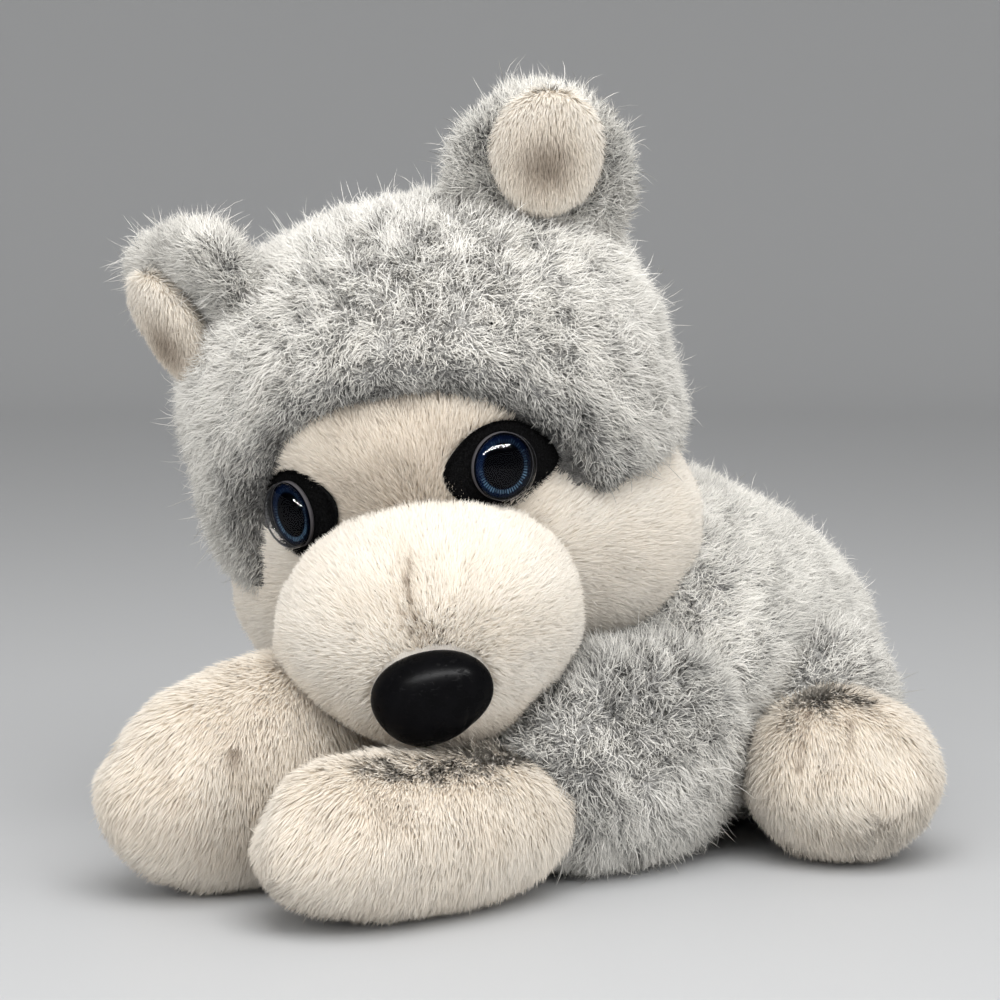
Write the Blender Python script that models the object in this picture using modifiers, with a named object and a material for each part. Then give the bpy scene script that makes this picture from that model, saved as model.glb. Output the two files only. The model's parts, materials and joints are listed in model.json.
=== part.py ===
"""Plush puppy lying on its belly with its head turned to its left.

Soft padded parts are balls pushed into shape and smoothed with Subdivision
Surface. Where two parts meet, one is cut back from the other by a small gap.
Lengths below are in millimetres and are scaled to metres when a mesh is made.
"""
import math

import bmesh
import bpy
from mathutils import Matrix, Vector

MM = 0.001
GAP = 0.3                      # clearance between moulded parts and their seats
SEAM_GAP = 0.5                 # clearance between padded parts

# Head: where its middle is and how it is held
HEAD_MIDDLE = Vector((-20.6, -1.8, 103.0))
HEAD_TURN = 36.5               # degrees to the animal's left
HEAD_NOD = 13.0                # degrees, nose down
HEAD_ROLL = 14.0               # degrees, left ear up
HOOD_HALF = Vector((67.0, 63.0, 69.0))
HOOD_MIDDLE = Vector((1.0, 3.0, 4.0))
FACE_HALF = Vector((57.0, 55.0, 57.0))
FACE_MIDDLE = Vector((0.0, 0.0, -9.0))
FACE_BACK = 12.0               # how far behind the head's middle the face reaches
BROW_HALF_WIDTH = 48.0
BROW_HEIGHT = 35.0             # brow edge above the head's middle
HOOD_LOWER_EDGE = -14.0        # below this the front of the head is cheek
CHEEK_TILT = -6.0              # degrees the cheek edge drops to one side
BROW_TILT = 6.0                # degrees the brow edge drops to the other side
BROW_SHIFT = -1.0
MUZZLE_HALF = Vector((39.5, 37.0, 32.5))
MUZZLE_MIDDLE = Vector((-3.0, -57.0, -26.0))

# Moulded eyes
EYE_LEFT = Vector((25.5, -50.5, 8.5))      # middle of the left eye from the head's middle
EYE_RIGHT = Vector((-32.5, -46.6, 7.8))
LEFT_OUTWARD = 36.0            # degrees the left eye looks outward
RIGHT_OUTWARD = 44.0
RIGHT_UPWARD = 8.0             # degrees the right eye looks up
EYE_RADIUS = 8.8
EYE_DOME = 4.0
EYE_RIM = 0.9
EYE_BACK_THICK = 1.0
POST_RADIUS = 1.7
POST_LENGTH = 13.0
WASHER_RADIUS = 6.5
WASHER_THICK = 1.4
WASHER_DEPTH = 7.0             # washer behind the eye's back
PATCH_HALF_LENGTH = 17.0
PATCH_HALF_HEIGHT = 11.0
PATCH_THICK = 1.2
PATCH_CURVE = 36.0             # radius the felt follows
OUTER_CORNER = 6.2             # how far the felt's outer corner reaches beyond its oval
INNER_CORNER = 1.2
OUTER_RISE = -15.0             # degrees the outer corner points up
INNER_RISE = 8.0

# Moulded nose
NOSE_HALF = Vector((15.4, 9.0, 11.3))
NOSE_MIDDLE = Vector((0.5, -92.5, -31.5))
NOSE_POST_LENGTH = 16.0

# Ears
LEFT_EAR_HALF = Vector((27.0, 12.0, 29.0))
RIGHT_EAR_HALF = Vector((27.0, 12.0, 27.0))
LEFT_LINING_HALF = Vector((15.5, 7.0, 18.0))
RIGHT_LINING_HALF = Vector((13.0, 7.5, 19.5))

# Body and limbs
BODY_MIDDLE = Vector((6.0, 60.0, 42.0))
BODY_HALF = Vector((50.0, 86.0, 49.0))
FOREARM_HALF = Vector((26.0, 47.0, 32.0))
FOREPAW_HALF = Vector((26.5, 48.0, 21.5))
FAR_FOREPAW_HALF = Vector((25.5, 40.0, 29.0))
HAUNCH_HALF = Vector((25.0, 40.0, 33.0))
HIND_PAW_HALF = Vector((27.2, 30.0, 23.8))
TAIL_HALF = Vector((15.0, 34.0, 13.0))


def clear_scene():
    for item in list(bpy.data.objects):
        bpy.data.objects.remove(item)


def new_collection(name):
    group = bpy.data.collections.new(name)
    bpy.context.scene.collection.children.link(group)
    return group


def head_place():
    """Location and rotation of the head."""
    turn = Matrix.Rotation(math.radians(HEAD_TURN), 4, "Z")
    nod = Matrix.Rotation(math.radians(HEAD_NOD), 4, "X")
    roll = Matrix.Rotation(math.radians(-HEAD_ROLL), 4, "Y")
    return Matrix.Translation(HEAD_MIDDLE) @ turn @ nod @ roll


def turned(middle, turn=0.0, lean=0.0, roll=0.0):
    """Place at a middle, rolled about Y, leaned about X, then turned about Z."""
    spin = Matrix.Rotation(math.radians(turn), 4, "Z")
    tip = Matrix.Rotation(math.radians(lean), 4, "X")
    bank = Matrix.Rotation(math.radians(roll), 4, "Y")
    return Matrix.Translation(Vector(middle)) @ spin @ tip @ bank


def material(name, colour, roughness, alpha=1.0):
    made = bpy.data.materials.new(name)
    made.use_nodes = True
    shader = made.node_tree.nodes["Principled BSDF"]
    shader.inputs["Base Color"].default_value = (*colour, 1.0)
    shader.inputs["Roughness"].default_value = roughness
    shader.inputs["Metallic"].default_value = 0.0
    if alpha < 1.0:
        shader.inputs["Transmission Weight"].default_value = 1.0 - alpha
    return made


def add_object(name, mesh_data, place, group, paint):
    """Put a mesh built in millimetres into the scene at a place."""
    mesh = bpy.data.meshes.new(name)
    for vertex in mesh_data.verts:
        vertex.co *= MM
    mesh_data.to_mesh(mesh)
    mesh_data.free()
    for face in mesh.polygons:
        face.use_smooth = True
    item = bpy.data.objects.new(name, mesh)
    group.objects.link(item)
    location, rotation, _ = place.decompose()
    item.location = location * MM
    item.rotation_euler = rotation.to_euler()
    if paint is not None:
        mesh.materials.append(paint)
    return item


def smooth_form(item, levels=1):
    finish = item.modifiers.new("Smooth", "SUBSURF")
    finish.levels = levels
    finish.render_levels = levels
    return item


def ball_mesh(half, middle, swells, sides, rings, limits, grow):
    """Ball pushed out or in near named points, then kept inside flat limits."""
    data = bmesh.new()
    bmesh.ops.create_uvsphere(data, u_segments=sides, v_segments=rings, radius=1.0)
    for vertex in data.verts:
        way = vertex.co.copy()
        spot = Vector((way.x * half.x, way.y * half.y, way.z * half.z)) + middle
        push = Vector((0.0, 0.0, 0.0))
        for point, spread, lift in swells:
            near = math.exp(-((spot - Vector(point)).length / spread) ** 2)
            push += way * (lift * near)
        vertex.co = spot + push
        for axis, side, edge in limits:
            if side * vertex.co[axis] > side * edge:
                vertex.co[axis] = edge
    data.normal_update()
    if grow:
        moved = [vertex.co + vertex.normal * grow for vertex in data.verts]
        for vertex, spot in zip(data.verts, moved):
            vertex.co = spot
    return data


class Ball:
    """One padded form that can also be made slightly larger as a cutter."""

    def __init__(self, place, half, middle=(0, 0, 0), swells=(), sides=16, rings=10, limits=()):
        self.place = place
        self.half = Vector(half)
        self.middle = Vector(middle)
        self.swells = swells
        self.sides = sides
        self.rings = rings
        self.limits = limits

    def build(self, name, group, paint, grow=0.0):
        data = ball_mesh(self.half, self.middle, self.swells, self.sides, self.rings,
                         self.limits, grow)
        return smooth_form(add_object(name, data, self.place, group, paint))


class Turning:
    """Profile of radius and height turned about its own Z axis."""

    def __init__(self, place, profile, steps=16):
        self.place = place
        self.profile = profile
        self.steps = steps

    def build(self, name, group, paint, grow=0.0):
        data = bmesh.new()
        rings = []
        for radius, height in self.profile:
            ring = []
            if radius == 0.0:
                ring.append(data.verts.new((0.0, 0.0, height)))
            else:
                for step in range(self.steps):
                    angle = 2.0 * math.pi * step / self.steps
                    ring.append(data.verts.new((radius * math.cos(angle),
                                                radius * math.sin(angle), height)))
            rings.append(ring)
        closed = rings[0] == rings[-1] or len(rings[0]) > 1
        pairs = list(zip(rings, rings[1:]))
        if closed:
            pairs.append((rings[-1], rings[0]))
        for lower, upper in pairs:
            join_rings(data, lower, upper)
        bmesh.ops.recalc_face_normals(data, faces=data.faces[:])
        if grow:
            data.normal_update()
            moved = [vertex.co + vertex.normal * (grow * 1.2) for vertex in data.verts]
            for vertex, spot in zip(data.verts, moved):
                vertex.co = spot
        return add_object(name, data, self.place, group, paint)


def join_rings(data, lower, upper):
    count = max(len(lower), len(upper))
    for step in range(count):
        following = (step + 1) % count
        corners = []
        for ring, order in ((lower, (step, following)), (upper, (following, step))):
            if len(ring) == 1:
                corners.append(ring[0])
            else:
                corners.extend((ring[order[0]], ring[order[1]]))
        data.faces.new(corners)


def cut(target, cutter):
    opening = target.modifiers.new("Cut " + cutter.name, "BOOLEAN")
    opening.operation = "DIFFERENCE"
    opening.solver = "EXACT"
    opening.object = cutter


def block_mesh(low, high):
    """Rounded-off box between two corners."""
    data = bmesh.new()
    bmesh.ops.create_cube(data, size=1.0)
    for vertex in data.verts:
        for axis in range(3):
            vertex.co[axis] = high[axis] if vertex.co[axis] > 0 else low[axis]
    return data


def window_mesh(half_width, top, bottom, front, back, sides=24):
    """Rounded opening drawn in X and Z and pushed along Y."""
    data = bmesh.new()
    middle = (top + bottom) / 2.0
    reach = (top - bottom) / 2.0
    loops = []
    for depth in (front, back):
        loop = []
        for step in range(sides):
            angle = 2.0 * math.pi * step / sides
            across = math.copysign(abs(math.cos(angle)) ** 0.8, math.cos(angle))
            along = math.copysign(abs(math.sin(angle)) ** 0.8, math.sin(angle))
            loop.append(data.verts.new((across * half_width, depth, middle + along * reach)))
        loops.append(loop)
    join_rings(data, loops[0], loops[1])
    data.faces.new(loops[0])
    data.faces.new(loops[1])
    bmesh.ops.recalc_face_normals(data, faces=data.faces[:])
    return data


def patch_mesh(side, grow=0.0):
    """Almond of felt lying in X and Y, curved to follow the face, with a post hole."""
    data = bmesh.new()
    steps = 18
    hole = POST_RADIUS + GAP - grow
    shares = (0.0, 0.5, 1.0)
    layers = []
    for level in (0.0, -PATCH_THICK):
        rings = []
        for share in shares:
            ring = []
            for step in range(steps):
                angle = 2.0 * math.pi * step / steps
                outer = almond_radius(angle, side)
                radius = hole + (outer - hole) * share
                x = radius * math.cos(angle)
                y = radius * math.sin(angle)
                drop = (x * x + y * y) / (2.0 * PATCH_CURVE)
                rest = max(0.0, drop - EYE_RADIUS ** 2 / (2.0 * PATCH_CURVE))
                ring.append(data.verts.new((x, y, level - rest)))
            rings.append(ring)
        layers.append(rings)
    top, bottom = layers
    for first, second in zip(top, top[1:]):
        join_rings(data, first, second)
    for first, second in zip(bottom, bottom[1:]):
        join_rings(data, first, second)
    join_rings(data, top[-1], bottom[-1])
    join_rings(data, top[0], bottom[0])
    bmesh.ops.recalc_face_normals(data, faces=data.faces[:])
    if grow:
        data.normal_update()
        moved = [vertex.co + vertex.normal * grow for vertex in data.verts]
        for vertex, spot in zip(data.verts, moved):
            vertex.co = spot
    return data


def almond_radius(angle, side):
    """Distance from the eye's middle to the patch edge; the outer corner is pointed."""
    across = math.cos(angle)
    up = math.sin(angle)
    plain = 1.0 / math.sqrt((across / (PATCH_HALF_LENGTH * 0.82)) ** 2 + (up / PATCH_HALF_HEIGHT) ** 2)
    outer = math.exp(-((wrapped(angle, outer_angle(side, OUTER_RISE))) / 0.32) ** 2)
    inner = math.exp(-((wrapped(angle, outer_angle(-side, INNER_RISE))) / 0.38) ** 2)
    return plain + OUTER_CORNER * outer + INNER_CORNER * inner


def outer_angle(side, rise):
    """Direction in degrees above the horizontal, to the side given."""
    tilt = math.radians(rise)
    return tilt if side > 0 else math.pi - tilt


def wrapped(angle, other):
    return (angle - other + math.pi) % (2.0 * math.pi) - math.pi


def dome_profile():
    steps = 5
    bulge = [(EYE_RADIUS * math.cos(math.pi / 2 * k / steps),
              EYE_RIM + EYE_DOME * math.sin(math.pi / 2 * k / steps)) for k in range(steps)]
    return [(0.0, 0.0), (EYE_RADIUS, 0.0)] + bulge + [(0.0, EYE_RIM + EYE_DOME)]


def eye_back_profile():
    top = -GAP
    low = top - EYE_BACK_THICK
    return [(0.0, top), (EYE_RADIUS - 0.4, top), (EYE_RADIUS, top - 0.3), (EYE_RADIUS, low),
            (POST_RADIUS, low), (POST_RADIUS, low - POST_LENGTH + 1.0),
            (POST_RADIUS * 0.5, low - POST_LENGTH), (0.0, low - POST_LENGTH)]


def washer_profile(depth):
    hole = POST_RADIUS + GAP * 0.5
    return [(hole, -depth), (WASHER_RADIUS, -depth), (WASHER_RADIUS, -depth - WASHER_THICK),
            (hole, -depth - WASHER_THICK)]


def eye_place(side):
    """Frame on the face whose Z looks out of the eye."""
    head = head_place()
    spot = EYE_LEFT if side > 0 else EYE_RIGHT
    outward = LEFT_OUTWARD if side > 0 else -RIGHT_OUTWARD
    upward = 0.0 if side > 0 else RIGHT_UPWARD
    spread = Matrix.Rotation(math.radians(outward), 4, "Z")
    upright = Matrix.Rotation(math.radians(90.0 - upward), 4, "X")
    return head @ Matrix.Translation(spot) @ spread @ upright


def bore_profile(depth):
    """Clearance around a post and its washer."""
    wide = POST_RADIUS + GAP
    outer = WASHER_RADIUS + GAP
    return [(0.0, 2.0), (wide, 2.0), (wide, -depth + GAP), (outer, -depth + GAP),
            (outer, -depth - WASHER_THICK - GAP), (wide, -depth - WASHER_THICK - GAP),
            (wide, -POST_LENGTH - 5.5), (0.0, -POST_LENGTH - 5.5)]


def head_forms():
    head = head_place()
    hood_swells = (((50, 0, 48), 30, 10), ((-50, 0, 48), 30, 9), ((60, -10, -12), 26, 2),
                   ((-60, -10, -12), 26, 2), ((0, -40, 52), 30, 3))
    hood = Ball(head, HOOD_HALF, HOOD_MIDDLE, hood_swells, 16, 10)
    face_swells = (((50, -2, -32), 26, 13), ((-50, -2, -30), 24, 12),
                   ((34, -12, -54), 22, 3), ((-34, -12, -54), 22, 5), ((0, -40, 28), 22, 3),
                   ((-1, -50, 12), 18, 6), ((22, -42, 28), 15, 4), ((-24, -42, 28), 15, 5),
                   ((41, -36, 2), 13, -6), ((-44, -36, 2), 13, -1))
    face = Ball(head, FACE_HALF, FACE_MIDDLE, face_swells, 14, 9,
                ((1, 1, FACE_BACK), (2, 1, 42.0)))
    muzzle_swells = (((20, -80, -12), 20, 3), ((-24, -80, -12), 20, 3), ((26, -74, -48), 18, -2),
                     ((-30, -74, -48), 18, -4), ((-2, -84, -50), 14, 2))
    muzzle = Ball(head, MUZZLE_HALF, MUZZLE_MIDDLE, muzzle_swells, 12, 8)
    return hood, face, muzzle


def ear_forms(side):
    """Outer ear and its lining; the two ears are held differently."""
    head = head_place()
    fold = (((0, 10, 0), 16, -4), ((0, -10, 6), 14, -3))
    if side > 0:
        place = head @ turned((46.5, -2.0, 67.0), turn=4.0, lean=8.0, roll=20.0)
        outer = Ball(place, LEFT_EAR_HALF, (0, 3, 0), fold, 10, 7)
        lining = Ball(place, LEFT_LINING_HALF, (0.5, -10, 13), (((0, -16, 9), 9, -3),), 8, 6)
        return outer, lining
    place = head @ turned((-49.5, -4.0, 55.0), turn=-44.0, lean=12.0, roll=-10.0)
    corners = (((-20, 0, 20), 13, 5), ((18, 0, 20), 14, 5))
    outer = Ball(place, RIGHT_EAR_HALF, (0, 3, 0), fold + corners, 10, 7)
    lining = Ball(place, RIGHT_LINING_HALF, (0, -10, 2.5), (((0, -16, 2), 9, -2),), 8, 6)
    return outer, lining


def toe_swells(half, depth, facing=-1.0):
    """Two shallow ditches that part a paw into three toes."""
    reach = half.y * 0.86
    out = []
    for across in (-0.36, 0.36):
        out.append(((across * half.x, facing * reach, half.z * 0.35), 6.5, -depth))
    for across in (-0.74, 0.0, 0.74):
        out.append(((across * half.x, facing * reach * (1.0 - 0.16 * abs(across)), 0), 11.0, depth * 0.8))
    return tuple(out)


def floor_limit(height):
    """Keeps a form placed at this height above the floor from going through it."""
    return ((2, -1, -height),)


def limb_forms():
    forms = {}
    height = FOREPAW_HALF.z - 2.0
    forms["forepaw_left"] = Ball(turned((33, -63, height), turn=-3.0), FOREPAW_HALF, (0, 0, 0),
                                 toe_swells(FOREPAW_HALF, 3.0) + (((0, -36, 14), 17, 6),),
                                 12, 8, floor_limit(height))
    height = FAR_FOREPAW_HALF.z - 2.0
    forms["forepaw_right"] = Ball(turned((-18, -77.5, height), turn=-6.0), FAR_FOREPAW_HALF, (0, 0, 0),
                                  toe_swells(FAR_FOREPAW_HALF, 3.0) + (((4, 26, 20), 24, 9),),
                                  12, 8, floor_limit(height))
    height = FOREARM_HALF.z - 4.0
    for name, x, y in (("foreleg_left", 39.0, 4.0), ("foreleg_right", -24.0, -16.0)):
        forms[name] = Ball(turned((x, y, height)), FOREARM_HALF, (0, 0, 0),
                           (((0, 26, 20), 24, 4),), 10, 6, floor_limit(height))
    for name, side in (("left", 1.0), ("right", -1.0)):
        height = HAUNCH_HALF.z - 5.0
        forms["haunch_" + name] = Ball(turned((BODY_MIDDLE.x + side * 38.0, 85, height), turn=side * 26.0),
                                       HAUNCH_HALF, (0, 0, 0), (), 10, 6, floor_limit(height))
        height = HIND_PAW_HALF.z - 1.5
        forms["hind_paw_" + name] = Ball(
            turned((BODY_MIDDLE.x + side * 70.0, 51, height), turn=side * 42.0),
            HIND_PAW_HALF, (0, 0, 0), toe_swells(HIND_PAW_HALF, 2.6), 10, 7, floor_limit(height))
    return forms


def body_forms():
    height = BODY_MIDDLE.z
    hump = (((6, 58, 94), 42, 9), ((6, 22, 90), 30, 7))
    neck = (((46, 4, 66), 30, -16), ((-34, 4, 66), 30, -16))
    waist = (((60, 66, 20), 24, -5), ((-48, 66, 20), 24, -7), ((50, 34, 42), 24, 6))
    swells = hump + neck + waist
    body = Ball(turned(BODY_MIDDLE), BODY_HALF, (0, 0, 0),
                tuple((Vector(spot) - BODY_MIDDLE, spread, lift) for spot, spread, lift in swells),
                16, 10, floor_limit(height))
    height = TAIL_HALF.z - 1.0
    tail = Ball(turned((-10, 150, height), turn=24.0), TAIL_HALF, (0, 0, 0), (), 8, 6,
                floor_limit(height))
    return body, tail


def nose_form():
    place = head_place() @ Matrix.Translation(NOSE_MIDDLE)
    swells = (((-2.5, -8, -8), 9, 2.2), ((9, -7, 5), 7, 0.8), ((-9, -7, 5), 7, 0.8), ((0, 8, 0), 12, -2),
              ((-9, -5, -7), 6, 0.8))
    return Ball(place, NOSE_HALF, (0, 0, 0), swells, 12, 8)


def post_place():
    upright = Matrix.Rotation(math.radians(90.0), 4, "X")
    return head_place() @ Matrix.Translation(NOSE_MIDDLE) @ upright


def build():
    clear_scene()
    parts = new_collection("Plush puppy")
    guides = new_collection("Cutters")
    grey = material("grey long pile", (0.40, 0.41, 0.41), 0.95)
    cream = material("cream short pile", (0.74, 0.67, 0.58), 0.95)
    felt = material("black felt", (0.012, 0.012, 0.014), 0.95)
    black = material("black moulded plastic", (0.010, 0.010, 0.012), 0.28)
    clear = material("clear eye plastic", (0.80, 0.86, 0.92), 0.05, alpha=0.1)
    iris = material("dark blue eye paint", (0.010, 0.020, 0.050), 0.30)
    lock = material("white washer plastic", (0.75, 0.75, 0.72), 0.50)

    hood, face, muzzle = head_forms()
    body, tail = body_forms()
    limbs = limb_forms()
    nose = nose_form()
    forms = {"hood": (hood, grey), "face": (face, cream), "muzzle": (muzzle, cream),
             "body": (body, grey), "tail": (tail, grey), "nose": (nose, black)}
    for name, form in limbs.items():
        forms[name] = (form, cream if "paw" in name else grey)
    for side, label in ((1.0, "left"), (-1.0, "right")):
        outer, lining = ear_forms(side)
        forms["ear_outer_" + label] = (outer, grey)
        forms["ear_lining_" + label] = (lining, cream)

    made = {name: form.build(name, parts, paint) for name, (form, paint) in forms.items()}
    cutters = {}

    def keep_clear(target, *others):
        for other in others:
            if other not in cutters:
                cutters[other] = forms[other][0].build(other + " clearance", guides, None, SEAM_GAP)
            cut(made[target], cutters[other])

    head = head_place()
    window = add_object("face opening", window_mesh(BROW_HALF_WIDTH, BROW_HEIGHT, -50.0, -120.0, -14.0),
                        head @ turned((BROW_SHIFT, 0, 0), roll=BROW_TILT), guides, None)
    cheek = add_object("cheek opening", block_mesh((-110, -120, -110), (110, FACE_BACK - 2.0, HOOD_LOWER_EDGE)),
                       head @ turned((0, 0, 0), roll=CHEEK_TILT), guides, None)
    keep_clear("hood", "face")
    cut(made["hood"], window)
    cut(made["hood"], cheek)
    keep_clear("muzzle", "face")
    keep_clear("body", "hood", "face", "muzzle")
    keep_clear("tail", "body")
    for label in ("left", "right"):
        keep_clear("ear_lining_" + label, "hood")
        keep_clear("ear_outer_" + label, "hood", "ear_lining_" + label)
        keep_clear("foreleg_" + label, "hood", "face", "muzzle", "body")
        keep_clear("forepaw_" + label, "hood", "face", "muzzle", "body", "nose", "foreleg_" + label)
        keep_clear("haunch_" + label, "body")
        keep_clear("hind_paw_" + label, "body", "haunch_" + label, "foreleg_" + label)
    keep_clear("foreleg_right", "foreleg_left")
    keep_clear("forepaw_right", "forepaw_left", "foreleg_left")
    keep_clear("forepaw_left", "foreleg_right")
    keep_clear("muzzle", "nose")

    for side, label in ((1.0, "left"), (-1.0, "right")):
        place = eye_place(side)
        seat = place @ Matrix.Translation((0.0, 0.0, -EYE_BACK_THICK - 2.0 * GAP))
        made["eye_dome_" + label] = Turning(place, dome_profile()).build("eye_dome_" + label, parts, clear)
        made["eye_back_" + label] = Turning(place, eye_back_profile()).build(
            "eye_back_" + label, parts, iris)
        patch = add_object("eye_patch_" + label, patch_mesh(side), seat, parts, felt)
        made["eye_patch_" + label] = patch
        made["eye_washer_" + label] = Turning(place, washer_profile(WASHER_DEPTH)).build(
            "eye_washer_" + label, parts, lock)
        pocket = Turning(place, bore_profile(WASHER_DEPTH)).build(
            "eye bore " + label, guides, None)
        cut(made["face"], pocket)
        cut(made["muzzle"], pocket)
        recess = add_object("eye patch recess " + label, recess_mesh(side), seat, guides, None)
        cut(made["face"], recess)
        cut(made["muzzle"], recess)

    post = Turning(post_place(), nose_post_profile()).build("nose post", guides, None)
    join = made["nose"].modifiers.new("Post", "BOOLEAN")
    join.operation = "UNION"
    join.solver = "EXACT"
    join.object = post
    made["nose_washer"] = Turning(post_place(), washer_profile(NOSE_POST_LENGTH - 2.0)).build(
        "nose_washer", parts, lock)
    bore = Turning(post_place(), nose_bore_profile()).build("nose bore", guides, None)
    cut(made["muzzle"], bore)

    for item in guides.objects:
        item.hide_render = True
        item.display_type = "WIRE"
    settle(list(parts.objects), list(guides.objects))


def nose_post_profile():
    return [(0.0, -3.0), (POST_RADIUS, -3.0), (POST_RADIUS, -NOSE_POST_LENGTH - 3.0),
            (POST_RADIUS * 0.5, -NOSE_POST_LENGTH - 4.0), (0.0, -NOSE_POST_LENGTH - 4.0)]


def nose_bore_profile():
    depth = NOSE_POST_LENGTH - 2.0
    wide = POST_RADIUS + GAP
    outer = WASHER_RADIUS + GAP
    return [(0.0, 1.0), (wide, 1.0), (wide, -depth + GAP), (outer, -depth + GAP),
            (outer, -depth - WASHER_THICK - GAP), (wide, -depth - WASHER_THICK - GAP),
            (wide, -NOSE_POST_LENGTH - 5.0), (0.0, -NOSE_POST_LENGTH - 5.0)]


def recess_mesh(side):
    """Room for the felt and everything in front of it."""
    data = bmesh.new()
    steps = 18
    rings = []
    for share, level in ((0.0, None), (0.5, None), (1.0, None), (1.0, 26.0), (0.0, 26.0)):
        ring = []
        if share == 0.0:
            depth = -PATCH_THICK - GAP if level is None else level
            ring.append(data.verts.new((0.0, 0.0, depth)))
        else:
            for step in range(steps):
                angle = 2.0 * math.pi * step / steps
                radius = (almond_radius(angle, side) + GAP) * share
                x = radius * math.cos(angle)
                y = radius * math.sin(angle)
                drop = (x * x + y * y - EYE_RADIUS ** 2) / (2.0 * PATCH_CURVE)
                depth = -PATCH_THICK - GAP - max(0.0, drop) if level is None else level
                ring.append(data.verts.new((x, y, depth)))
        rings.append(ring)
    for lower, upper in zip(rings, rings[1:]):
        join_rings(data, lower, upper)
    bmesh.ops.recalc_face_normals(data, faces=data.faces[:])
    return data


def settle(items, guides):
    """Move everything so that the box around the parts is centred on the origin and rests on the floor."""
    bpy.context.view_layer.update()
    graph = bpy.context.evaluated_depsgraph_get()
    low = Vector((1e9, 1e9, 1e9))
    high = Vector((-1e9, -1e9, -1e9))
    for item in items:
        shown = item.evaluated_get(graph)
        mesh = shown.to_mesh()
        for vertex in mesh.vertices:
            spot = item.matrix_world @ vertex.co
            low = Vector(map(min, low, spot))
            high = Vector(map(max, high, spot))
        shown.to_mesh_clear()
    shift = Vector(((low.x + high.x) / 2.0, (low.y + high.y) / 2.0, low.z))
    for item in items + guides:
        item.location = item.location - shift


build()
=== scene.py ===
"""Dresses the plush puppy: padded skins, ribbon pile, domed eyes, moulded nose and the studio."""
import json
import math

import bpy
import numpy as np
from bpy.props import FloatProperty, FloatVectorProperty, PointerProperty
from bpy.types import Operator, Panel, PropertyGroup
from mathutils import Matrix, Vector

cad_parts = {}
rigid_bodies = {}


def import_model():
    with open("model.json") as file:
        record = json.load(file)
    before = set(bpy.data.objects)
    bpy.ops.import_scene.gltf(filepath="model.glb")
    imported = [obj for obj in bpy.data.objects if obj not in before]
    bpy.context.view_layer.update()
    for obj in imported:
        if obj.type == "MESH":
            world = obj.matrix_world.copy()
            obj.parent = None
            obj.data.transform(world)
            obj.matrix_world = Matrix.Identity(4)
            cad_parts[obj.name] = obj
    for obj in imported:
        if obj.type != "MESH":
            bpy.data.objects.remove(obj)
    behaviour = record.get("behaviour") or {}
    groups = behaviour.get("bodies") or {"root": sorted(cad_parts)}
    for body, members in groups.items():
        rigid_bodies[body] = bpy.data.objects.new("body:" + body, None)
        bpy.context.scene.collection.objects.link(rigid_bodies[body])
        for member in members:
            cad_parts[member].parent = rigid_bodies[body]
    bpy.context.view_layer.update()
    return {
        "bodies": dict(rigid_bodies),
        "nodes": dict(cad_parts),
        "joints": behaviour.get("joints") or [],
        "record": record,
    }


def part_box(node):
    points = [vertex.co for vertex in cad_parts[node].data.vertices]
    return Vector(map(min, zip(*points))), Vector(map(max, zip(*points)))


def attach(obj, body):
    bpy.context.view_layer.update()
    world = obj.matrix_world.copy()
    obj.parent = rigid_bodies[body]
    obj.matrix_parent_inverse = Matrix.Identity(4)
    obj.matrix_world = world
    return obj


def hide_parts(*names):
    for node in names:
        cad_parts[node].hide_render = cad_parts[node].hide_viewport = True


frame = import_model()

bl_info = {
    "name": "Plush puppy",
    "version": (1, 0, 0),
    "blender": (4, 5, 0),
    "location": "3D View > Sidebar > Plush puppy",
    "description": "Builds the pile, eyes, nose and studio of a lying plush puppy",
    "category": "Object",
}

MM = 0.001
MAP = "OFBake"

# The photograph's viewpoint: degrees turned and raised, then distance and target height in millimetres
VIEW_TURN, VIEW_RISE = 42.0, 5.0
VIEW_AWAY, TARGET_HEIGHT = 700, 93.5
SENSOR_WIDTH, LENS = 36.0, 93.744

# Where the head is held and how its forms sit, in millimetres before the part was centred
HEAD_MIDDLE = np.array((-20.6, -1.8, 103.0))
HEAD_TURN, HEAD_NOD, HEAD_ROLL = 36.5, 13.0, -14.0
BODY_MIDDLE = np.array((6.0, 60.0, 42.0))
# Each eye: its place in the head, degrees it looks outward and upward
EYES = {1: ((25.5, -50.5, 8.5), 36.0, 0.0), -1: ((-32.5, -46.6, 7.8), 44.0, 8.0)}
EYE_RADIUS = 8.8
NOSE_MIDDLE, NOSE_HALF = np.array((0.5, -92.5, -31.5)), (15.4, 9, 11.3)
NOSE_ROOM = (15.4, 10.5, 11.8)               # half sizes of the room that the pile leaves for the nose
WASHER_DEPTH, WASHER_THICK = 7.0, 1.4
PATCH_LENGTH, PATCH_HEIGHT, PATCH_CURVE, FELT_THICK = 17.0, 11.0, 36.0, 1.2
OUTER_RISE, INNER_RISE = -15.0, 8.0          # degrees that the patch corners point up
OUTER_POINT, INNER_POINT = 6.2, 1.2
FELT_TOP, FELT_MARGIN = -1.6, 1.2            # felt's height in the eye's frame; how far hairs lap over it
IRIS_TICKS = 58
ROOT_GRID = (110, 180)                       # rows and columns of the grid that the hairs grow from
BIG_SKIN, SMALL_SKIN = (60, 96), (32, 48)
TURNED_STEPS = 72
TUFT_SIZE = 11.0
HAIR_WIDTH, UNDER_WIDTH, STRAY_WIDTH = 0.26, 0.42, 0.17
GREY_DEPTH, CREAM_DEPTH = 4.4, 0.70          # skin's depth: millimetres, and a share of the shortest hair
FLAT_FLOOR, WALL_BEND, FLOOR_SIDES = 2.2, 1.2, 64


# Frames: a rotation and a place

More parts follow.
